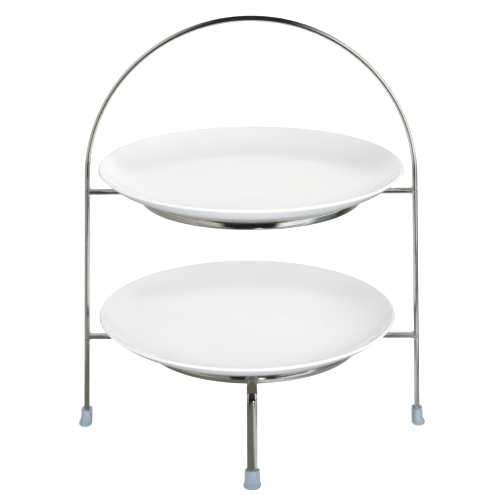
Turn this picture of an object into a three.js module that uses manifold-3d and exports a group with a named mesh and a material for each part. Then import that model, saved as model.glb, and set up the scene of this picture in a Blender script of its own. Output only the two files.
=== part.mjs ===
// Two-tier cake stand: a frame of bent flat-oval bar with two porcelain plates resting on its rings.
// Millimetres, +Z up. The origin is on the table, below the centre of the two rings.
// The hoop stands in the XZ plane, and the front leg is on the -Y side.

import * as THREE from 'three';
import Module from 'manifold-3d';
import { mergeVertices } from 'three/addons/utils/BufferGeometryUtils.js';

const manifold = await Module();
manifold.setup();

// ---- Driving dimensions ----

const plateDiameter = 270;
const plateHeight = 25;
const lowerPlateShift = -4; // the lower plate lies a little off centre on its ring, towards -X
const archRadius = 145.5; // centreline
const archCentreHeight = 238;
const legSplay = THREE.MathUtils.degToRad(2.4); // how far each side leg leans outwards, going down
const upperTierHeight = 229; // mid-height of the upper ring and its struts
const lowerTierHeight = 90;
const ringRadius = 97; // centreline
const legReach = 124; // centreline of the front and rear legs from the middle
const legBendRadius = 9;
const barWidth = 9;
const barThickness = 4.8;
const weldGap = 0.3; // between bars that are welded to each other
const seatGap = 0.3; // between a plate and its ring

// Foot caps: a sleeve on the bar's end, with a wider base set off away from the stand
const capHeight = 17;
const capWall = 1.9;
const capFloor = 2.7;
const capFit = 0.3; // between the bar and the sleeve
const capWallOnFlats = 2.5;
const baseHeight = 6;
const baseFlare = 1.05;
const baseLean = 1.2;

// Plates, from the bottom of the foot ring up
const wellRadius = 80;
const wellHeight = 6.6; // upper face of the flat middle
const footRecess = 2; // depth of the hollow inside the foot ring
const footOuterRadius = 80.5;
const footInnerRadius = 77.5;
const footChamfer = 2.5; // from the foot ring's outer edge to where the wall leaves it
const footHeight = 3;
const lipReach = 3.8; // how far in from the rim the lip's rounding ends
const lipOuterDrop = 2.1; // how far below plateHeight the rounding starts, on the outside
const lipInnerDrop = 1.3; // and ends, on the inside
const lipRound = 1.9; // how strongly the lip's curve swells between the two

// ---- Mesh fineness ----

const cornerSteps = 1; // splits each quarter of a bar's rounded edge into two
const ringSides = 64;
const plateSides = 64;
const hoopSteps = 48;
const legSteps = 20;
const capSteps = 3;
const wallSteps = 8;
const lipSteps = 4;

// ---- Worked-out sizes ----

const barEnd = capFloor + capFit;
const strutStart = ringRadius + barThickness / 2 + weldGap;
const plateRadius = plateDiameter / 2;
const springReach = archRadius * Math.cos(legSplay); // where the straight legs turn into the arch
const springHeight = archCentreHeight + archRadius * Math.sin(legSplay);

// Centreline of a side leg, from the middle of the stand.
function sideLegReach(height) {
  return springReach + (springHeight - height) * Math.tan(legSplay);
}

// ---- Materials ----

const steel = new THREE.MeshStandardMaterial({ color: 0xb4b4ae, metalness: 1, roughness: 0.22 });
const porcelain = new THREE.MeshStandardMaterial({ color: 0xf6f6f4, metalness: 0, roughness: 0.1 });
const plastic = new THREE.MeshStandardMaterial({ color: 0xb3c0cc, metalness: 0, roughness: 0.45 });

// ---- Shared helpers ----

const cakeStand = new THREE.Group();

function addPiece(name, geometry, material) {
  const piece = new THREE.Mesh(geometry, material);
  piece.name = name;
  cakeStand.add(piece);
  return piece;
}

// A rectangle whose shorter sides are rounded into half circles.
function flatOval(sizeX, sizeY) {
  const radius = Math.min(sizeX, sizeY) / 2;
  const reachX = sizeX / 2 - radius;
  const reachY = sizeY / 2 - radius;
  const corners = [[1, 1], [-1, 1], [-1, -1], [1, -1]];
  const outline = new THREE.Shape();
  corners.forEach(([sideX, sideY], quarter) => {
    const start = quarter * Math.PI / 2;
    outline.absarc(sideX * reachX, sideY * reachY, radius, start, start + Math.PI / 2, false);
  });
  outline.closePath();
  return outline;
}

// A flat 2-D path stood up in space: place(u, v) turns a point of the path into a point of the part.
class StandingCurve extends THREE.Curve {
  constructor(path, place) {
    super();
    this.path = path;
    this.place = place;
  }

  getPoint(t) {
    const { x, y } = this.path.getPoint(t);
    return this.place(x, y);
  }
}

function bentBar(section, curve, steps) {
  return new THREE.ExtrudeGeometry(section, { extrudePath: curve, steps, curveSegments: cornerSteps });
}

function straightPrism(section, height, curveSegments) {
  return new THREE.ExtrudeGeometry(section, { depth: height, bevelEnabled: false, curveSegments });
}

function toManifold(geometry) {
  const bare = geometry.clone();
  bare.deleteAttribute('normal');
  bare.deleteAttribute('uv');
  const merged = mergeVertices(bare, 1e-4);
  return new manifold.Manifold(new manifold.Mesh({
    numProp: 3,
    vertProperties: new Float32Array(merged.attributes.position.array),
    triVerts: new Uint32Array(merged.index.array),
  }));
}

function fromManifold(solid) {
  const { vertProperties, triVerts } = solid.getMesh();
  const geometry = new THREE.BufferGeometry();
  geometry.setAttribute('position', new THREE.BufferAttribute(vertProperties, 3));
  geometry.setIndex(new THREE.BufferAttribute(triVerts, 1));
  geometry.computeVertexNormals();
  return geometry;
}

// ---- Frame ----

// One bar from the left foot over the arch to the right foot, wide side front to back.
function makeHoop() {
  const path = new THREE.Path();
  path.moveTo(-sideLegReach(barEnd), barEnd);
  path.lineTo(-springReach, springHeight);
  path.absarc(0, archCentreHeight, archRadius, Math.PI - legSplay, legSplay, true);
  path.lineTo(sideLegReach(barEnd), barEnd);
  const curve = new StandingCurve(path, (x, z) => new THREE.Vector3(x, 0, z));
  addPiece('hoop', bentBar(flatOval(barWidth, barThickness), curve, hoopSteps), steel);
}

// A ring of the same bar, standing on edge so that its narrow side carries the plate.
function makeRing(name, height) {
  const section = flatOval(barThickness, barWidth).getPoints(cornerSteps);
  const profile = section.map((point) => new THREE.Vector2(ringRadius + point.x, point.y));
  const geometry = new THREE.LatheGeometry(profile, ringSides);
  geometry.rotateX(Math.PI / 2);
  geometry.translate(0, 0, height);
  addPiece(name, geometry, steel);
}

// A short bar that lies flat between a ring and the hoop. side is -1 on the left and 1 on the right.
// It ends weldGap short of the hoop at its upper edge, where the leaning leg comes nearest.
function makeStrut(name, side, height) {
  const strutEnd = sideLegReach(height + barThickness / 2) - barThickness / 2 - weldGap;
  const length = strutEnd - strutStart;
  const geometry = straightPrism(flatOval(barThickness, barWidth), length, cornerSteps);
  geometry.rotateY(Math.PI / 2);
  const middle = (strutStart + strutEnd) / 2;
  geometry.translate(side * middle - length / 2, 0, height);
  addPiece(name, geometry, steel);
}

// A bar that leaves the lower ring level and bends down to the table. side is -1 at the front.
function makeLeg(name, side) {
  const path = new THREE.Path();
  path.moveTo(strutStart, lowerTierHeight);
  path.lineTo(legReach - legBendRadius, lowerTierHeight);
  path.absarc(legReach - legBendRadius, lowerTierHeight - legBendRadius, legBendRadius, Math.PI / 2, 0, true);
  path.lineTo(legReach, barEnd);
  const curve = new StandingCurve(path, (y, z) => new THREE.Vector3(0, side * y, z));
  addPiece(name, bentBar(flatOval(barThickness, barWidth), curve, legSteps), steel);
}

// ---- Foot caps ----

// A blind sleeve for a bar end whose thin side faces along X. Its base is set off towards +X, and its
// height leans towards -X with the bar, whose foot is splayed. The bottom stays flat on the table.
function footCapGeometry(splay) {
  const sleeveThick = barThickness + 2 * (capFit + capWallOnFlats);
  const sleeveWide = barWidth + 2 * (capFit + capWall);
  const sleeve = straightPrism(flatOval(sleeveThick, sleeveWide), capHeight, capSteps);

  const baseOutline = flatOval(sleeveThick + 2 * baseFlare, sleeveWide + 2 * baseFlare);
  const base = straightPrism(baseOutline, baseHeight, capSteps);
  base.translate(baseLean, 0, 0);

  const pocketOutline = flatOval(barThickness + 2 * capFit, barWidth + 2 * capFit);
  const pocket = straightPrism(pocketOutline, capHeight, capSteps);
  pocket.translate(0, 0, capFloor);

  const solid = toManifold(sleeve).add(toManifold(base)).subtract(toManifold(pocket));
  const geometry = fromManifold(solid);
  const lean = -Math.tan(splay);
  geometry.applyMatrix4(new THREE.Matrix4().makeShear(0, 0, 0, 0, lean, 0));
  geometry.computeVertexNormals();
  return geometry;
}

function makeFootCaps() {
  const splayedCap = footCapGeometry(legSplay);
  const uprightCap = footCapGeometry(0);
  const places = [
    ['right_foot_cap', splayedCap, sideLegReach(0), 0],
    ['rear_foot_cap', uprightCap, legReach, 90],
    ['left_foot_cap', splayedCap, sideLegReach(0), 180],
    ['front_foot_cap', uprightCap, legReach, 270],
  ];
  for (const [name, geometry, distance, degrees] of places) {
    const angle = THREE.MathUtils.degToRad(degrees);
    const cap = addPiece(name, geometry, plastic);
    cap.position.set(distance * Math.cos(angle), distance * Math.sin(angle), 0);
    cap.rotation.z = angle;
  }
}

// ---- Plates ----

// The underside of a plate's wall, from its foot ring to its lip. The wall rises more steeply near the lip.
function plateUnderside() {
  return new THREE.CubicBezierCurve(
    new THREE.Vector2(footOuterRadius + footChamfer, footHeight),
    new THREE.Vector2(111, 4.2),
    new THREE.Vector2(123.5, 12.4),
    new THREE.Vector2(plateRadius, plateHeight - lipOuterDrop),
  );
}

// The upper face of a plate's wall, from its lip down to the flat well.
function plateInside() {
  return new THREE.CubicBezierCurve(
    new THREE.Vector2(plateRadius - lipReach, plateHeight - lipInnerDrop),
    new THREE.Vector2(120, 13.2),
    new THREE.Vector2(106, 8.2),
    new THREE.Vector2(wellRadius, wellHeight),
  );
}

// Half of the plate's section, from the axis under the well, round the lip and back to the axis.
function plateProfile() {
  const under = plateUnderside().getPoints(wallSteps);
  const inside = plateInside().getPoints(wallSteps);
  const outerEdge = under.at(-1);
  const innerEdge = inside[0];
  const lip = new THREE.CubicBezierCurve(
    outerEdge,
    new THREE.Vector2(outerEdge.x, outerEdge.y + lipRound),
    new THREE.Vector2(innerEdge.x + lipRound, innerEdge.y + lipRound),
    innerEdge,
  );
  return [
    new THREE.Vector2(0, footRecess),
    new THREE.Vector2(footInnerRadius - footRecess, footRecess),
    new THREE.Vector2(footInnerRadius, 0),
    new THREE.Vector2(footOuterRadius, 0),
    ...under,
    ...lip.getPoints(lipSteps).slice(1, -1),
    ...inside,
    new THREE.Vector2(0, wellHeight),
  ];
}

// How high the plate's foot sits when the underside of its wall rests on a ring's rounded top edge.
// A plate that lies off centre rests where the ring comes nearest to the plate's middle.
function seatHeight(tierHeight, shift) {
  const samples = 200;
  const nearRadius = ringRadius - Math.abs(shift);
  const edgeRadius = barThickness / 2 + seatGap;
  const edgeHeight = tierHeight + barWidth / 2 - barThickness / 2;
  const lifts = plateUnderside().getPoints(samples)
    .filter((point) => Math.abs(point.x - nearRadius) < edgeRadius)
    .map((point) => edgeHeight + Math.sqrt(edgeRadius ** 2 - (point.x - nearRadius) ** 2) - point.y);
  return Math.max(...lifts);
}

function makePlate(name, tierHeight, shift) {
  const geometry = new THREE.LatheGeometry(plateProfile(), plateSides);
  geometry.rotateX(Math.PI / 2);
  const plate = addPiece(name, geometry, porcelain);
  plate.position.set(shift, 0, seatHeight(tierHeight, shift));
}

makeHoop();
makeRing('upper_ring', upperTierHeight);
makeRing('lower_ring', lowerTierHeight);
makeStrut('upper_left_strut', -1, upperTierHeight);
makeStrut('upper_right_strut', 1, upperTierHeight);
makeStrut('lower_left_strut', -1, lowerTierHeight);
makeStrut('lower_right_strut', 1, lowerTierHeight);
makeLeg('front_leg', -1);
makeLeg('rear_leg', 1);
makeFootCaps();
makePlate('upper_plate', upperTierHeight, 0);
makePlate('lower_plate', lowerTierHeight, lowerPlateShift);

export default cakeStand;
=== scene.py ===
"""Looks of the two-tier cake stand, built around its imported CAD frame. Metres, +Z up.

The stand's frame is bent from flat-oval bar. Each bar is swept again here with a finer section,
each plate is turned again with a finer profile, and the foot caps are lofted, on sizes read from
the frame. Weld fillets are added where the bars meet.
"""

import math

import bmesh
import bpy
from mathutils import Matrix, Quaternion, Vector


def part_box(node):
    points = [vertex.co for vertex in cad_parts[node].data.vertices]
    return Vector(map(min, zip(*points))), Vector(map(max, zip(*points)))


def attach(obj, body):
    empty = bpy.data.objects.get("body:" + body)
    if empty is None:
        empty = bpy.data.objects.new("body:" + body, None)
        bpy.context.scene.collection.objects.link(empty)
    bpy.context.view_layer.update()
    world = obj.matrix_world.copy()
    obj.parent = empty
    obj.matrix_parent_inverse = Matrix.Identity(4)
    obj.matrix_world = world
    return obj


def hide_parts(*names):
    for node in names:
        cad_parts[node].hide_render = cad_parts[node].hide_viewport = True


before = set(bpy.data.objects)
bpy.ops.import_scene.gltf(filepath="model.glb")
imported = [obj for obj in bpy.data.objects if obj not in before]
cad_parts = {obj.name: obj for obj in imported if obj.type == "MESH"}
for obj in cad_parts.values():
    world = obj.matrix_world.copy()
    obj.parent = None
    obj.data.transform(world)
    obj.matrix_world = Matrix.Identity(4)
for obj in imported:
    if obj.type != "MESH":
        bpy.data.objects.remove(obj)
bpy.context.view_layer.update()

MM = 0.001
X_AXIS = Vector((1, 0, 0))
Y_AXIS = Vector((0, 1, 0))
Z_AXIS = Vector((0, 0, 1))

# ---- Sizes, from the frame ----

hoop_low, hoop_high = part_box("hoop")
upper_strut_low, upper_strut_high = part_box("upper_right_strut")
_, lower_strut_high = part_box("lower_right_strut")
_, ring_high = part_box("upper_ring")
leg_low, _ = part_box("front_leg")
cap_low, cap_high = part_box("front_foot_cap")
plate_low, plate_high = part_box("upper_plate")

BAR_WIDTH = hoop_high.y - hoop_low.y
BAR_THICKNESS = upper_strut_high.z - upper_strut_low.z
HALF_THICKNESS = BAR_THICKNESS / 2
BAR_END = leg_low.z  # the height at which the bars end, inside their caps
RING_RADIUS = ring_high.x - HALF_THICKNESS
LEG_REACH = -leg_low.y - HALF_THICKNESS  # from the stand's middle to the front or rear leg's middle
CAP_HEIGHT = cap_high.z
PLATE_RADIUS = (plate_high.x - plate_low.x) / 2
STAND_MIDDLE = (cap_low.z + hoop_high.z) / 2


def middle_height(node):
    low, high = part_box(node)
    return (low.z + high.z) / 2


TIER_HEIGHTS = {"upper": middle_height("upper_ring"), "lower": middle_height("lower_ring")}
LEFT_AND_RIGHT = {"left": -1, "right": 1}
FRONT_AND_REAR = {"front": -1, "rear": 1}

# ---- Sizes that the frame's boxes don't give ----

WELD_GAP = 0.3 * MM  # between a bar's end and the bar it is welded to, in the CAD
WELD_SIZE = 1.5 * MM
WELD_LIMIT = BAR_WIDTH / 2 - 0.04 * MM  # how near a fillet comes to the edge of the bar it lies on
WELD_BURIAL = 0.8 * HALF_THICKNESS  # how deep a fillet's base runs into that bar
WELD_RIPPLE = 0.05  # of the fillet's height
WELD_RIPPLE_COUNT = 7
LEG_BEND = 9 * MM  # bend radius of the front and rear legs, at the bar's middle
BAR_SQUARENESS = 2.5  # of the bar's section: 2 is an ellipse, and more flattens its long sides
CAP_FIT = 0.3 * MM  # between a bar and its cap
CAP_FLOOR = 2.7 * MM
CAP_FLARE = 1.05 * MM  # how much farther the cap's base reaches than its sleeve, all round
CAP_LEAN = 1.2 * MM  # how far the base is set off away from the stand

# The plate's section, in plain millimetres
WELL_RADIUS = 80
WELL_TOP = 6.6
WELL_UNDERSIDE = 2.0
FOOT_INSIDE = [(75.2, WELL_UNDERSIDE), (76.1, 1.9), (76.9, 1.1), (77.5, 0.25), (78.1, 0.0)]
FOOT_OUTSIDE = [(79.9, 0.0), (80.6, 0.25), (81.2, 1.1), (81.9, 2.2), (83.0, 3.0)]
RIM_HEIGHT = 22.9  # where the underside reaches the plate's edge
LIP_WIDTH = 3.8
LIP_INSIDE = 23.7  # where the rounded lip runs into the plate's wall
BARE_HEIGHT = 0.3  # the foot ring has no glaze below this

# ---- The hoop ----

# Its side legs lean outwards going down. The struts end at the same distance from them on both tiers.
LEG_SLOPE = (lower_strut_high.x - upper_strut_high.x) / (upper_strut_high.z - lower_strut_high.z)
LEG_SPLAY = math.atan(LEG_SLOPE)
FOOT_REACH = upper_strut_high.x + WELD_GAP + HALF_THICKNESS + LEG_SLOPE * upper_strut_high.z


def side_leg_reach(height):
    """From the stand's middle to the middle of a side leg."""
    return FOOT_REACH - LEG_SLOPE * height


# The arch runs into both legs without a kink, and the frame gives its highest point.
ARCH_TOP = hoop_high.z - HALF_THICKNESS
ARCH_RADIUS = side_leg_reach(ARCH_TOP) * math.cos(LEG_SPLAY) / (1 - math.sin(LEG_SPLAY))
ARCH_CENTRE = ARCH_TOP - ARCH_RADIUS

# ---- Mesh fineness ----

PATH_STEP = 2.5 * MM
BAR_SECTION_STEPS = 36
ARCH_STEPS = 160
LEG_BEND_STEPS = 24
RING_STEPS = 240
WELD_RISE_STEPS = 7
WELD_EDGE_STEPS = 10  # per rounded side of a weld's outline
WELD_FLAT_STEPS = 6
CAP_EDGE_STEPS = 12
CAP_FLAT_STEPS = 4
PLATE_STEPS = 192
PLATE_WALL_STEPS = 26
PLATE_LIP_STEPS = 12
PLATE_WELL_STEPS = 12


# ---- Paths and outlines ----

def spread(start, end, count):
    """count + 1 evenly spaced numbers from start to end."""
    return [start + (end - start) * i / count for i in range(count + 1)]


def straight(start, end):
    count = max(1, math.ceil((end - start).length / PATH_STEP))
    return [start.lerp(end, t) for t in spread(0, 1, count)]


def arc(centre, radius, from_degrees, to_degrees, count):
    """Points of an arc in a plane, as 2-D vectors."""
    angles = [math.radians(a) for a in spread(from_degrees, to_degrees, count)]
    return [centre + radius * Vector((math.cos(a), math.sin(a))) for a in angles]


def circle(radius, count):
    """Points of a whole circle round the middle, as 2-D vectors."""
    return arc(Vector((0, 0)), radius, 0, 360, count)[:-1]


def bezier(points, count):
    """Points of a cubic Bezier curve, as 2-D vectors."""
    a, b, c, d = (Vector(p) for p in points)
    made = []
    for t in spread(0, 1, count):
        s = 1 - t
        made.append(s**3 * a + 3 * s * s * t * b + 3 * s * t * t * c + t**3 * d)
    return made


def joined(*runs):
    """Runs of points one after another, with each run's first point dropped if it repeats."""
    made = []
    for run in runs:
        for point in run:
            if not made or (point - made[-1]).length > 1e-7:
                made.append(point)
    return made


def oval(width, thickness, edge_steps, flat_steps):
    """A closed outline with rounded short sides. width runs along the first coordinate."""
    radius = thickness / 2
    reach = width / 2 - radius
    right = arc(Vector((reach, 0)), radius, -90, 90, edge_steps)
    left = arc(Vector((-reach, 0)), radius, 90, 270, edge_steps)
    top = [right[-1].lerp(left[0], t) for t in spread(0, 1, flat_steps)]
    bottom = [left[-1].lerp(right[0], t) for t in spread(0, 1, flat_steps)]
    return joined(right, top, left, bottom)[:-1]


def bar_section():
    """The drawn bar's section: an oval with flattened long sides that still bulge a little."""
    made = []
    for angle in spread(0, math.tau, BAR_SECTION_STEPS)[:-1]:
        u, v = math.cos(angle), math.sin(angle)
        made.append(Vector((
            math.copysign(abs(u) ** (2 / BAR_SQUARENESS), u) * BAR_WIDTH / 2,
            math.copysign(abs(v) ** (2 / BAR_SQUARENESS), v) * HALF_THICKNESS,
        )))
    return made


# ---- Mesh building ----

def new_object(name, bm, materials):
    """Puts a finished mesh into the scene."""
    mesh = bpy.data.meshes.new(name)
    bm.to_mesh(mesh)
    bm.free()
    for material in materials:
        mesh.materials.append(material)
    made = bpy.data.objects.new(name, mesh)
    bpy.context.scene.collection.objects.link(made)
    return made


def new_piece(name, bm, materials, body):
    """A smooth-shaded piece of the object, on its body and with its materials."""
    bmesh.ops.recalc_face_normals(bm, faces=bm.faces)
    piece = new_object(name, bm, materials)
    polygons = piece.data.polygons
    polygons.foreach_set("use_smooth", [True] * len(polygons))
    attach(piece, body)
    return piece


def skin(bm, rows, closed=False):
    """Quads between rows of vertices. Each row closes on itself, and closed also joins last to first.

    Returns the faces, each with its row and column.
    """
    made = []
    for i in range(len(rows) if closed else len(rows) - 1):
        here, there = rows[i], rows[(i + 1) % len(rows)]
        for j in range(len(here)):
            k = (j + 1) % len(here)
            made.append((bm.faces.new((here[j], here[k], there[k], there[j])), i, j))
    return made


def close_ends(bm, rows):
    bm.faces.new(rows[0])
    bm.faces.new(rows[-1])


def running_lengths(points, closed):
    """Distance from the first point to each point, and back to the first one if closed."""
    ends = points[1:] + points[:1] if closed else points[1:]
    made = [0.0]
    for a, b in zip(points, ends):
        made.append(made[-1] + (b - a).length)
    return made


def write_bar_uv(bm, faces, around, along):
    """UVs in metres: U round the section and V along the bar, so that drawn lines follow every bend."""
    layer = bm.loops.layers.uv.new("bar")
    for face, i, j in faces:
        corners = [(j, i), (j + 1, i), (j + 1, i + 1), (j, i + 1)]
        for loop, (u, v) in zip(face.loops, corners):
            loop[layer].uv = (around[u], along[v])


def sweep_bar(name, points, across, node, material, closed=False):
    """A bar along points that lie in a plane. across is the plane's normal, along the bar's width."""
    section = bar_section()
    bm = bmesh.new()
    rows = []
    count = len(points)
    for i, point in enumerate(points):
        before = points[i - 1] if closed or i else point
        after = points[(i + 1) % count] if closed or i + 1 < count else point
        outward = (after - before).normalized().cross(across)
        rows.append([bm.verts.new(point + across * u + outward * v) for u, v in section])
    faces = skin(bm, rows, closed)
    write_bar_uv(bm, faces, running_lengths(section, True), running_lengths(points, closed))
    if not closed:
        close_ends(bm, rows)
    piece = new_piece(name, bm, [material], "stand")
    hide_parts(node)


# ---- Node helpers ----

def new_material(name):
    """Returns the material, its tree and its shader."""
    material = bpy.data.materials.new(name)
    material.use_nodes = True
    return material, material.node_tree, material.node_tree.nodes["Principled BSDF"]


def glowing_material(name):
    """A bare emission shader. Returns the material, its tree and its colour socket."""
    material = bpy.data.materials.new(name)
    material.use_nodes = True
    tree = material.node_tree
    tree.nodes.clear()
    light = add_node(tree, "ShaderNodeEmission")
    output = add_node(tree, "ShaderNodeOutputMaterial")
    tree.links.new(light.outputs["Emission"], output.inputs["Surface"])
    return material, tree, light.inputs["Color"]


def add_node(tree, kind, **settings):
    made = tree.nodes.new(kind)
    for name, value in settings.items():
        setattr(made, name, value)
    return made


def object_position(tree):
    return add_node(tree, "ShaderNodeTexCoord").outputs["Object"]


def bar_position(tree, around_scale, along_scale):
    """The bar's own coordinates, stretched, so that a texture becomes lines along the bar."""
    source = add_node(tree, "ShaderNodeUVMap", uv_map="bar")
    mapping = add_node(tree, "ShaderNodeMapping")
    mapping.inputs["Scale"].default_value = (around_scale, along_scale, 1)
    tree.links.new(source.outputs["UV"], mapping.inputs["Vector"])
    return mapping.outputs["Vector"]


def split_vector(tree, vector):
    """Returns the X, Y and Z sockets."""
    made = add_node(tree, "ShaderNodeSeparateXYZ")
    tree.links.new(vector, made.inputs["Vector"])
    return made.outputs["X"], made.outputs["Y"], made.outputs["Z"]


def noise(tree, position, scale, detail):
    made = add_node(tree, "ShaderNodeTexNoise")
    made.inputs["Scale"].default_value = scale
    made.inputs["Detail"].default_value = detail
    tree.links.new(position, made.inputs["Vector"])
    return made.outputs["Fac"]


def ranged(tree, value, low, high, from_low=0.3, from_high=0.7):
    """Maps from_low to low and from_high to high, and clamps. Most of a noise lies in 0.3 to 0.7."""
    made = add_node(tree, "ShaderNodeMapRange")
    made.inputs["From Min"].default_value = from_low
    made.inputs["From Max"].default_value = from_high
    made.inputs["To Min"].default_value = low
    made.inputs["To Max"].default_value = high
    tree.links.new(value, made.inputs["Value"])
    return made.outputs["Result"]


def blended(tree, share, first, second):
    """A colour between first and second, which are plain colours or sockets."""
    made = add_node(tree, "ShaderNodeMix", data_type="RGBA")
    tree.links.new(share, made.inputs[0])
    for socket, colour in ((made.inputs[6], first), (made.inputs[7], second)):
        if isinstance(colour, tuple):
            socket.default_value = (*colour, 1)
        else:
            tree.links.new(colour, socket)
    return made.outputs[2]


def added(tree, first, second):
    made = add_node(tree, "ShaderNodeMath", operation="ADD")
    tree.links.new(first, made.inputs[0])
    tree.links.new(second, made.inputs[1])
    return made.outputs["Value"]


def bump(tree, height, distance, strength, normal=None):
    made = add_node(tree, "ShaderNodeBump")
    made.inputs["Distance"].default_value = distance
    made.inputs["Strength"].default_value = strength
    tree.links.new(height, made.inputs["Height"])
    if normal is not None:
        tree.links.new(normal, made.inputs["Normal"])
    return made.outputs["Normal"]


def colour_ramp(tree, value, stops, low, high):
    """Colours along a value that goes from 0 to 1. stops are (place from low to high, colour)."""
    ramp = add_node(tree, "ShaderNodeValToRGB")
    elements = ramp.color_ramp.elements
    while len(elements) < len(stops):
        elements.new(0.5)
    for element, (place, colour) in zip(elements, stops):
        element.position = (place - low) / (high - low)
        element.color = (*colour, 1)
    tree.links.new(value, ramp.inputs["Fac"])
    return ramp.outputs["Color"]


# ---- Materials ----

def drawn_steel():
    """Polished steel bar with fine drawing lines along it and faint cloudy handling marks."""
    material, tree, shader = new_material("drawn_steel")
    shader.inputs["Metallic"].default_value = 1
    lines = noise(tree, bar_position(tree, 5200, 26), 1, detail=2)
    clouds = noise(tree, object_position(tree), 38, detail=4)
    colour = blended(tree, ranged(tree, clouds, 0, 1), (0.60, 0.59, 0.555), (0.68, 0.675, 0.645))
    tree.links.new(colour, shader.inputs["Base Color"])
    rough = added(tree, ranged(tree, clouds, 0.08, 0.13), ranged(tree, lines, -0.02, 0.04))
    tree.links.new(rough, shader.inputs["Roughness"])
    tree.links.new(bump(tree, lines, 0.01 * MM, 0.15), shader.inputs["Normal"])
    return material


def weld_steel():
    """Weld fillets: the same steel, hand ground, so rougher and uneven."""
    material, tree, shader = new_material("weld_steel")
    shader.inputs["Metallic"].default_value = 1
    grain = noise(tree, object_position(tree), 900, detail=3)
    tint = noise(tree, object_position(tree), 160, detail=2)
    colour = blended(tree, ranged(tree, tint, 0, 1), (0.50, 0.49, 0.46), (0.70, 0.69, 0.66))
    tree.links.new(colour, shader.inputs["Base Color"])
    tree.links.new(ranged(tree, grain, 0.2, 0.34), shader.inputs["Roughness"])
    tree.links.new(bump(tree, grain, 0.12 * MM, 0.4), shader.inputs["Normal"])
    return material


def glazed_porcelain():
    """White glaze with faint warm clouds, slow waves and a fine orange-peel surface."""
    material, tree, shader = new_material("glazed_porcelain")
    position = object_position(tree)
    shader.inputs["IOR"].default_value = 1.52
    shader.inputs["Subsurface Weight"].default_value = 0.12
    shader.inputs["Subsurface Radius"].default_value = (1, 0.92, 0.84)
    shader.inputs["Subsurface Scale"].default_value = 2 * MM
    clouds = noise(tree, position, 14, detail=3)
    colour = blended(tree, ranged(tree, clouds, 0, 1), (0.905, 0.905, 0.892), (0.925, 0.925, 0.922))
    tree.links.new(colour, shader.inputs["Base Color"])
    tree.links.new(ranged(tree, clouds, 0.03, 0.06), shader.inputs["Roughness"])
    waves = bump(tree, noise(tree, position, 55, detail=1), 0.05 * MM, 0.5)
    peel = noise(tree, position, 420, detail=2)
    tree.links.new(bump(tree, peel, 0.01 * MM, 0.4, waves), shader.inputs["Normal"])
    return material


def bare_porcelain():
    """The unglazed edge of the foot ring: matte, fine grained and slightly grey from use."""
    material, tree, shader = new_material("bare_porcelain")
    grain = noise(tree, object_position(tree), 1500, detail=4)
    colour = blended(tree, ranged(tree, grain, 0, 1), (0.70, 0.69, 0.66), (0.84, 0.83, 0.80))
    tree.links.new(colour, shader.inputs["Base Color"])
    tree.links.new(ranged(tree, grain, 0.6, 0.8), shader.inputs["Roughness"])
    tree.links.new(bump(tree, grain, 0.05 * MM, 0.6), shader.inputs["Normal"])
    return material


def milky_plastic():
    """Soft translucent plastic. The bar inside shows through it faintly."""
    material, tree, shader = new_material("milky_plastic")
    position = object_position(tree)
    shader.inputs["IOR"].default_value = 1.45
    shader.inputs["Transmission Weight"].default_value = 0.6
    shader.inputs["Subsurface Weight"].default_value = 0.3
    shader.inputs["Subsurface Radius"].default_value = (0.8, 0.9, 1)
    shader.inputs["Subsurface Scale"].default_value = 3 * MM
    clouds = noise(tree, position, 210, detail=3)
    colour = blended(tree, ranged(tree, clouds, 0, 1), (0.43, 0.53, 0.61), (0.53, 0.63, 0.71))
    tree.links.new(colour, shader.inputs["Base Color"])
    tree.links.new(ranged(tree, clouds, 0.34, 0.46), shader.inputs["Roughness"])
    skin_grain = noise(tree, position, 1300, detail=2)
    tree.links.new(bump(tree, skin_grain, 0.04 * MM, 0.5), shader.inputs["Normal"])
    return material


def pale_floor():
    """A white table top that glows a little."""
    material, tree, shader = new_material("pale_floor")
    shader.inputs["Roughness"].default_value = 0.9
    shader.inputs["Specular IOR Level"].default_value = 0.1
    clouds = noise(tree, object_position(tree), 2, detail=2)
    colour = blended(tree, ranged(tree, clouds, 0, 1), (0.93, 0.93, 0.93), (0.95, 0.95, 0.95))
    tree.links.new(colour, shader.inputs["Base Color"])
    tree.links.new(colour, shader.inputs["Emission Color"])
    shader.inputs["Emission Strength"].default_value = 0.5
    return material


# ---- Bars ----

def make_hoop(steel):
    """One bar from the left foot over the arch to the right foot."""
    splay = math.degrees(LEG_SPLAY)
    turn = arc(Vector((0, ARCH_CENTRE)), ARCH_RADIUS, 180 - splay, splay, ARCH_STEPS)
    arch = [Vector((x, 0, z)) for x, z in turn]
    end_reach = side_leg_reach(BAR_END)
    left_leg = straight(Vector((-end_reach, 0, BAR_END)), arch[0])
    right_leg = straight(arch[-1], Vector((end_reach, 0, BAR_END)))
    sweep_bar("hoop_bar", joined(left_leg, arch, right_leg), Y_AXIS, "hoop", steel)


def make_rings(steel):
    """Closed rings of the same bar, standing on edge."""
    for tier, height in TIER_HEIGHTS.items():
        points = [Vector((x, y, height)) for x, y in circle(RING_RADIUS, RING_STEPS)]
        sweep_bar(f"{tier}_ring_bar", points, Z_AXIS, f"{tier}_ring", steel, closed=True)


def make_struts(steel):
    """Short level bars. Each runs on to the middle of the bars that it is welded to."""
    for tier, height in TIER_HEIGHTS.items():
        for name, side in LEFT_AND_RIGHT.items():
            inner = Vector((side * RING_RADIUS, 0, height))
            outer = Vector((side * side_leg_reach(height), 0, height))
            node = f"{tier}_{name}_strut"
            sweep_bar(f"{node}_bar", straight(inner, outer), Y_AXIS, node, steel)


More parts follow.
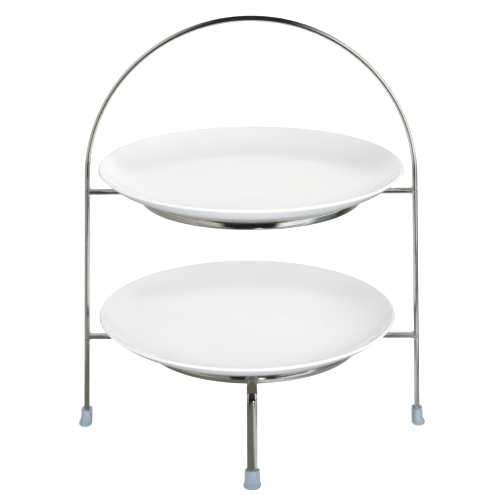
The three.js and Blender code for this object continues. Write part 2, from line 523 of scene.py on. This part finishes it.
def make_legs(steel):
    """Bars that leave the lower ring level and bend down to the table."""
    height = TIER_HEIGHTS["lower"]
    for name, side in FRONT_AND_REAR.items():
        bend = arc(Vector((LEG_REACH - LEG_BEND, height - LEG_BEND)), LEG_BEND, 90, 0, LEG_BEND_STEPS)
        flat_path = joined(
            straight(Vector((RING_RADIUS, height)), bend[0]),
            bend,
            straight(bend[-1], Vector((LEG_REACH, BAR_END))),
        )
        points = [Vector((0, side * y, z)) for y, z in flat_path]
        sweep_bar(f"{name}_leg_bar", points, X_AXIS, f"{name}_leg", steel)


# ---- Welds ----

def within_weld_limit(offset):
    return max(-WELD_LIMIT, min(WELD_LIMIT, offset))


def edge_drop(offset):
    """How far a bar's face falls away at this distance from the middle of the face."""
    past_flat = max(0.0, abs(offset) - (BAR_WIDTH / 2 - HALF_THICKNESS))
    past_flat = min(past_flat, HALF_THICKNESS)
    return HALF_THICKNESS - math.sqrt(HALF_THICKNESS**2 - past_flat**2)


def make_weld(name, origin, along, wide, thick, rounded_along_width, material):
    """A fillet round a bar's end. origin is on the other bar's face, and along points away from it.

    wide and thick point along the welded bar's width and thickness. rounded_along_width says that
    the other bar's rounded edges lie to either side of that width, as where a strut meets the hoop.
    Otherwise they lie above and below it.
    """
    bm = bmesh.new()
    rows = []
    for turn in spread(0, 90, WELD_RISE_STEPS):
        offset = 2 * WELD_SIZE * (1 - math.sin(math.radians(turn)))
        rise = WELD_SIZE * (1 - math.cos(math.radians(turn)))
        outline = oval(BAR_WIDTH + offset, BAR_THICKNESS + offset, WELD_EDGE_STEPS, WELD_FLAT_STEPS)
        row = []
        for i, (u, v) in enumerate(outline):
            ripple = 1 + WELD_RIPPLE * math.sin(WELD_RIPPLE_COUNT * math.tau * i / len(outline))
            if rounded_along_width:
                u = within_weld_limit(u)
                drop = edge_drop(u)
            else:
                v = within_weld_limit(v)
                drop = edge_drop(v)
            row.append(bm.verts.new(origin + wide * u + thick * v + along * (rise * ripple - drop)))
        rows.append(row)
    buried = [bm.verts.new(vert.co - along * WELD_BURIAL) for vert in rows[0]]
    rows.insert(0, buried)
    skin(bm, rows)
    close_ends(bm, rows)
    new_piece(name, bm, [material], "stand")


def make_ring_weld(name, height, out, wide, material):
    """Where a level bar leaves a ring, along out."""
    origin = out * (RING_RADIUS + HALF_THICKNESS) + Z_AXIS * height
    make_weld(name, origin, out, wide, Z_AXIS, False, material)


def make_hoop_weld(name, height, out, material):
    """Where a strut that runs along out meets a leaning side leg."""
    up_the_leg = Z_AXIS * math.cos(LEG_SPLAY) - out * math.sin(LEG_SPLAY)
    off_the_leg = -Z_AXIS * math.sin(LEG_SPLAY) - out * math.cos(LEG_SPLAY)
    leg_middle = out * side_leg_reach(height) + Z_AXIS * height
    origin = leg_middle + off_the_leg * HALF_THICKNESS
    make_weld(name, origin, off_the_leg, Y_AXIS, up_the_leg, True, material)


def make_welds(material):
    for tier, height in TIER_HEIGHTS.items():
        for name, side in LEFT_AND_RIGHT.items():
            make_ring_weld(f"{tier}_{name}_ring_weld", height, X_AXIS * side, Y_AXIS, material)
            make_hoop_weld(f"{tier}_{name}_hoop_weld", height, X_AXIS * side, material)
    for name, side in FRONT_AND_REAR.items():
        make_ring_weld(f"{name}_leg_weld", TIER_HEIGHTS["lower"], Y_AXIS * side, X_AXIS, material)


# ---- Foot caps ----

CAP_SLEEVE_HALF = -cap_low.y - LEG_REACH - CAP_FLARE - CAP_LEAN  # across the bar's flat sides
CAP_SLEEVE_WIDTH = cap_high.x - cap_low.x - 2 * CAP_FLARE


def cap_profile():
    """The cap's wall as (height, flare, lean) steps, up the outside and down into the pocket."""
    sink = CAP_SLEEVE_HALF - (HALF_THICKNESS + CAP_FIT)
    return [
        (0.0, -1.3 * MM, 1.0),
        (0.25 * MM, -0.45 * MM, 1.0),
        (0.8 * MM, 0.35 * MM, 1.0),
        (1.6 * MM, 0.85 * MM, 1.0),
        (2.6 * MM, CAP_FLARE, 0.95),
        (3.6 * MM, 0.9 * MM, 0.8),
        (4.8 * MM, 0.45 * MM, 0.5),
        (6.2 * MM, 0.1 * MM, 0.2),
        (8.0 * MM, 0.0, 0.0),
        (CAP_HEIGHT - 0.7 * MM, 0.0, 0.0),
        (CAP_HEIGHT - 0.2 * MM, -0.2 * MM, 0.0),
        (CAP_HEIGHT, -0.7 * MM, 0.0),
        (CAP_HEIGHT, 0.5 * MM - sink, 0.0),
        (CAP_HEIGHT - 0.5 * MM, -sink, 0.0),
        (CAP_FLOOR, -sink, 0.0),
    ]


def make_cap(name, out, distance, slope, material):
    """A sleeve on a bar's end, whose wider base is set off along out. slope is the bar's own lean."""
    side = Z_AXIS.cross(out)
    bm = bmesh.new()
    rows = []
    for height, flare, lean in cap_profile():
        centre = out * (distance + lean * CAP_LEAN - slope * height) + Z_AXIS * height
        width, depth = CAP_SLEEVE_WIDTH + 2 * flare, 2 * (CAP_SLEEVE_HALF + flare)
        outline = oval(width, depth, CAP_EDGE_STEPS, CAP_FLAT_STEPS)
        rows.append([bm.verts.new(centre + side * u + out * v) for u, v in outline])
    skin(bm, rows)
    close_ends(bm, rows)
    cap = new_piece(f"{name}_cap", bm, [material], "stand")
    smooth = cap.modifiers.new("smooth", "SUBSURF")
    smooth.levels = 1
    smooth.render_levels = 1
    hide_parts(f"{name}_foot_cap")


def make_caps(material):
    make_cap("right", X_AXIS, FOOT_REACH, LEG_SLOPE, material)
    make_cap("rear", Y_AXIS, LEG_REACH, 0, material)
    make_cap("left", -X_AXIS, FOOT_REACH, LEG_SLOPE, material)
    make_cap("front", -Y_AXIS, LEG_REACH, 0, material)


# ---- Plates ----

def plate_profile():
    """The plate's section as (radius, height) points in metres, from under the well to its top."""
    rim = PLATE_RADIUS / MM
    foot_edge = FOOT_INSIDE[0][0]
    lip_edge = rim - LIP_WIDTH
    under = [FOOT_OUTSIDE[-1], (111, 4.2), (123.5, 12.4), (rim, RIM_HEIGHT)]
    lip = [(rim, RIM_HEIGHT), (rim, 24.8), (rim - 1.9, 25.6), (lip_edge, LIP_INSIDE)]
    inside = [(lip_edge, LIP_INSIDE), (120, 13.2), (106, 8.2), (WELL_RADIUS, WELL_TOP)]
    profile = joined(
        [Vector((r, WELL_UNDERSIDE)) for r in spread(0, foot_edge, PLATE_WELL_STEPS)],
        [Vector(p) for p in FOOT_INSIDE + FOOT_OUTSIDE],
        bezier(under, PLATE_WALL_STEPS),
        bezier(lip, PLATE_LIP_STEPS),
        bezier(inside, PLATE_WALL_STEPS),
        [Vector((r, WELL_TOP)) for r in spread(WELL_RADIUS, 0, PLATE_WELL_STEPS)],
    )
    return [point * MM for point in profile]


def make_plate(name, node, glaze, bare):
    """A turned plate. The lowest part of its foot ring is left bare."""
    low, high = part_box(node)
    centre = Vector(((low.x + high.x) / 2, (low.y + high.y) / 2, low.z))
    profile = plate_profile()
    bm = bmesh.new()
    bottom = bm.verts.new(centre + Z_AXIS * profile[0].y)
    top = bm.verts.new(centre + Z_AXIS * profile[-1].y)
    rows = []
    for radius, height in profile[1:-1]:
        turn = circle(radius, PLATE_STEPS)
        rows.append([bm.verts.new(centre + Vector((x, y, height))) for x, y in turn])
    skin(bm, rows)
    for pole, row in ((bottom, rows[0]), (top, rows[-1])):
        for j in range(PLATE_STEPS):
            bm.faces.new((pole, row[j], row[(j + 1) % PLATE_STEPS]))
    plate = new_piece(name, bm, [glaze, bare], node)
    for polygon in plate.data.polygons:
        if polygon.center.z < centre.z + BARE_HEIGHT * MM:
            polygon.material_index = 1
    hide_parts(node)


# ---- Stage: sizes and colours ----

WHITE = (1, 1, 1)
FLOOR_SIZE = 60

# The camera stands in front of the stand and above it, and looks down. Degrees, and millimetres of lens.
CAMERA_PLACE = (-1.2 * MM, -1.2563, 0.6128)
CAMERA_DOWN = 19.28
CAMERA_ROLL = -0.24
CAMERA_SENSOR = 36
CAMERA_LENS = 106.03

# Soft lights: azimuth and elevation in degrees, how wide a patch of sky each one is, strength and
# colour. Azimuths are counted from the front, -Y, towards +X.
SUNS = {
    "overhead": (0, 88, 120, 0.42, WHITE),
    "front_left": (-50, 24, 60, 0.6, (0.98, 0.98, 1.02)),
    "front_right": (50, 24, 60, 1.15, WHITE),
    "rear_left": (-140, 30, 60, 0.85, WHITE),
    "rear_right": (140, 24, 60, 1.4, WHITE),
    "front": (0, 12, 40, 0.75, WHITE),
    "low_front": (0, -28, 40, 1.42, (0.94, 0.98, 1.06)),
}
WORLD_LOW = (0.24, 0.25, 0.265)
WORLD_HIGH = (0.30, 0.30, 0.30)
WORLD_FADE = (-0.15, 0.1)  # from the lower colour to the upper one, as heights on a unit sphere

# What the steel and the glaze mirror, as a dome round the stand that only shows in reflections. It
# has five levels, and three of them change round the stand: (azimuth, colour) stops.
LOWER_LEVEL = (0.30, 0.30, 0.26)
ROOM_LEVEL = [
    (-180, (0.60, 0.60, 0.58)),
    (-130, (0.55, 0.54, 0.51)),
    (-100, (0.38, 0.37, 0.34)),
    (-70, (0.45, 0.44, 0.41)),
    (-31, (0.74, 0.73, 0.70)),
    (-24, (0.02, 0.02, 0.022)),
    (22, (0.014, 0.015, 0.02)),
    (28, (1.3, 1.33, 1.36)),
    (54, (1.1, 1.14, 1.18)),
    (64, (0.26, 0.33, 0.40)),
    (84, (0.18, 0.22, 0.25)),
    (92, (0.05, 0.045, 0.03)),
    (108, (0.14, 0.13, 0.10)),
    (130, (0.40, 0.39, 0.37)),
    (180, (0.60, 0.60, 0.58)),
]
GLOW_LEVEL = [
    (-180, (0.85, 0.85, 0.83)),
    (-120, (0.74, 0.72, 0.69)),
    (-40, (0.70, 0.68, 0.65)),
    (-30, (0.05, 0.05, 0.045)),
    (24, (0.05, 0.05, 0.045)),
    (34, (0.9, 0.9, 0.88)),
    (44, (1.3, 1.3, 1.28)),
    (120, (1.0, 1.0, 0.97)),
    (180, (0.85, 0.85, 0.83)),
]
HIGH_LEVEL = [
    (-180, (0.035, 0.030, 0.024)),
    (-158, (0.035, 0.030, 0.024)),
    (-150, (0.76, 0.73, 0.70)),
    (-46, (0.76, 0.73, 0.70)),
    (-28, (0.03, 0.032, 0.036)),
    (26, (0.03, 0.032, 0.036)),
    (38, (1.4, 1.4, 1.4)),
    (66, (1.3, 1.3, 1.3)),
    (84, (1.0, 1.0, 0.97)),
    (138, (0.95, 0.95, 0.92)),
    (152, (0.035, 0.032, 0.03)),
    (180, (0.035, 0.030, 0.024)),
]
TOP_LEVEL = (0.035, 0.032, 0.028)
LEVEL_EDGES = ((-62, -52), (-3, 3), (24, 32), (54, 66))  # elevations where a level fades into the next
DOME_RADIUS = 0.5
DOME_CENTRE = Vector((0, 0, STAND_MIDDLE))
DOME_COLUMNS = 72
DOME_ROWS = 36

# The table that the steel mirrors near the stand, as (distance towards +X, colour) stops: a disc, and
# a strip that reaches farther in front. Both lie a little above the floor.
TABLE_REFLECTION = [
    (-0.335, (0.22, 0.23, 0.20)),
    (0.01, (0.18, 0.195, 0.17)),
    (0.03, (0.75, 0.76, 0.76)),
    (0.10, (0.70, 0.71, 0.70)),
    (0.13, (0.40, 0.41, 0.40)),
    (0.335, (0.34, 0.35, 0.34)),
]
TABLE_REACH = 0.335
TABLE_RADIUS = 0.283
TABLE_STEPS = 48
TABLE_LIFT = 0.1 * MM
STRIP_ACROSS = (-0.03, 0.06)
STRIP_ALONG = (-0.32, -0.2)

# Upright cards in front of the stand that also only show in reflections: where each one starts and
# ends towards +X, where it stands towards +Y, its height range and its colour
CARDS = {
    "bend_card": ((0.022, 0.06), -0.32, (0.004, 0.045), (2.1, 2.12, 2.15)),
    "left_card": ((-0.32, -0.08), -0.25, (0.001, 0.105), (0.30, 0.30, 0.285)),
    "right_card": ((0.10, 0.32), -0.25, (0.02, 0.088), (0.12, 0.125, 0.12)),
}

# Painted shade: dark sheets under the front of each plate, just outside the rings, that only show in
# reflections.
# They stand in for each plate's shaded underside wherever the rings and legs mirror it. Listed: their
# reach from the middle, the part of the turn that they cover in degrees from +X, their height above a
# ring's middle and their dark painted shade colour
UNDERSIDE_SHADE_REACH = (0.1045, 0.128)
UNDERSIDE_SHADE_TURN = (190, 350)
UNDERSIDE_SHADE_STEPS = 40
UNDERSIDE_SHADE_RISE = 4.6 * MM
UNDERSIDE_SHADE_COLOUR = (0.17, 0.155, 0.11)


# ---- Stage: making ----

def direction(azimuth, elevation):
    """The way to a place in the studio, from its azimuth and elevation in degrees."""
    a, e = math.radians(azimuth), math.radians(elevation)
    return Vector((math.sin(a) * math.cos(e), -math.cos(a) * math.cos(e), math.sin(e)))


def make_camera():
    data = bpy.data.cameras.new("camera")
    data.sensor_width = CAMERA_SENSOR
    data.lens = CAMERA_LENS
    camera = bpy.data.objects.new("camera", data)
    bpy.context.scene.collection.objects.link(camera)
    camera.location = CAMERA_PLACE
    tilt = Quaternion((1, 0, 0), math.radians(90 - CAMERA_DOWN))
    roll = Quaternion((0, 0, 1), math.radians(CAMERA_ROLL))
    camera.rotation_mode = "QUATERNION"
    camera.rotation_quaternion = tilt @ roll
    bpy.context.scene.camera = camera


def make_world():
    """Plain light from everywhere, a little darker and cooler from below."""
    world = bpy.data.worlds.new("studio")
    bpy.context.scene.world = world
    world.use_nodes = True
    tree = world.node_tree
    _, _, height = split_vector(tree, add_node(tree, "ShaderNodeTexCoord").outputs["Generated"])
    share = ranged(tree, height, 0, 1, *WORLD_FADE)
    colour = blended(tree, share, WORLD_LOW, WORLD_HIGH)
    tree.links.new(colour, tree.nodes["Background"].inputs["Color"])


def make_suns():
    """Even light from wide patches of sky. They don't show in reflections: the dome does."""
    for name, (azimuth, elevation, width, strength, colour) in SUNS.items():
        data = bpy.data.lights.new(name, "SUN")
        data.energy = strength
        data.angle = math.radians(width)
        data.color = colour
        light = bpy.data.objects.new(name, data)
        bpy.context.scene.collection.objects.link(light)
        light.rotation_mode = "QUATERNION"
        light.rotation_quaternion = (-direction(azimuth, elevation)).to_track_quat("-Z", "Y")
        light.visible_glossy = False


def show_only_in_reflections(piece):
    piece.visible_camera = False
    piece.visible_diffuse = False
    piece.visible_transmission = False
    piece.visible_shadow = False


def dome_material():
    material, tree, glow = glowing_material("studio_dome")
    place = add_node(tree, "ShaderNodeUVMap", uv_map="azimuth_elevation")
    azimuth, elevation, _ = split_vector(tree, place.outputs["UV"])
    changing = (ROOM_LEVEL, GLOW_LEVEL, HIGH_LEVEL)
    levels = [colour_ramp(tree, azimuth, stops, -180, 180) for stops in changing] + [TOP_LEVEL]
    colour = LOWER_LEVEL
    for (start, end), level in zip(LEVEL_EDGES, levels):
        share = ranged(tree, elevation, 0, 1, (start + 90) / 180, (end + 90) / 180)
        colour = blended(tree, share, colour, level)
    tree.links.new(colour, glow)
    return material


def make_dome():
    """A sphere whose UVs are azimuth and elevation, both from 0 to 1."""
    bm = bmesh.new()
    layer = bm.loops.layers.uv.new("azimuth_elevation")
    for i in range(DOME_COLUMNS):
        for j in range(DOME_ROWS):
            corners = [(i, j), (i + 1, j), (i + 1, j + 1), (i, j + 1)]
            places = [(u / DOME_COLUMNS, v / DOME_ROWS) for u, v in corners]
            ways = [direction(360 * u - 180, 180 * v - 90) for u, v in places]
            face = bm.faces.new([bm.verts.new(DOME_CENTRE + way * DOME_RADIUS) for way in ways])
            for loop, place in zip(face.loops, places):
                loop[layer].uv = place
    show_only_in_reflections(new_object("studio_dome", bm, [dome_material()]))


def reflected_sheet(name, outlines, material):
    """Flat faces that only show in reflections."""
    bm = bmesh.new()
    for outline in outlines:
        bm.faces.new([bm.verts.new(point) for point in outline])
    show_only_in_reflections(new_object(name, bm, [material]))


def rectangle(first_range, second_range):
    """The four corners, in order."""
    (a, b), (c, d) = first_range, second_range
    return [(a, c), (b, c), (b, d), (a, d)]


def make_cards():
    for name, (across, y, heights, colour) in CARDS.items():
        material, _, glow = glowing_material(name)
        glow.default_value = (*colour, 1)
        corners = [(x, y, z) for x, z in rectangle(across, heights)]
        reflected_sheet(name, [corners], material)


# Painted shade: dark sheets, seen only in reflections, that stand in for each plate's shaded underside.
def make_underside_shades():
    material, _, glow = glowing_material("underside_shade")
    glow.default_value = (*UNDERSIDE_SHADE_COLOUR, 1)
    inner, outer = (arc(Vector((0, 0)), reach, *UNDERSIDE_SHADE_TURN, UNDERSIDE_SHADE_STEPS) for reach in UNDERSIDE_SHADE_REACH)
    for tier, height in TIER_HEIGHTS.items():
        strips = zip(inner, outer, outer[1:], inner[1:])
        faces = [[(x, y, height + UNDERSIDE_SHADE_RISE) for x, y in corners] for corners in strips]
        reflected_sheet(f"{tier}_flag", faces, material)


def table_material():
    material, tree, glow = glowing_material("table_reflection")
    across, _, _ = split_vector(tree, object_position(tree))
    place = ranged(tree, across, 0, 1, -TABLE_REACH, TABLE_REACH)
    tree.links.new(colour_ramp(tree, place, TABLE_REFLECTION, -TABLE_REACH, TABLE_REACH), glow)
    return material


def make_table_reflection():
    disc = [(x, y, TABLE_LIFT) for x, y in circle(TABLE_RADIUS, TABLE_STEPS)]
    strip = [(x, y, 2 * TABLE_LIFT) for x, y in rectangle(STRIP_ACROSS, STRIP_ALONG)]
    reflected_sheet("table_reflection", [disc, strip], table_material())


def make_floor():
    """The table. It is only seen directly: it lights nothing, shades nothing and isn't mirrored."""
    bpy.ops.mesh.primitive_plane_add(size=FLOOR_SIZE)
    floor = bpy.context.object
    floor.name = "floor"
    floor.data.materials.append(pale_floor())
    floor.visible_glossy = False
    floor.visible_diffuse = False
    floor.visible_shadow = False


def set_colours():
    """Plain colours, so that the white floor and plates stay white."""
    scene = bpy.context.scene
    scene.view_settings.view_transform = "Standard"
    scene.view_settings.look = "None"


def build():
    steel = drawn_steel()
    make_hoop(steel)
    make_rings(steel)
    make_struts(steel)
    make_legs(steel)
    make_welds(weld_steel())
    make_caps(milky_plastic())
    glaze, bare = glazed_porcelain(), bare_porcelain()
    make_plate("upper_coupe_plate", "upper_plate", glaze, bare)
    make_plate("lower_coupe_plate", "lower_plate", glaze, bare)


make_camera()
make_world()
make_suns()
make_dome()
make_cards()
make_underside_shades()
make_table_reflection()
make_floor()
set_colours()
build()
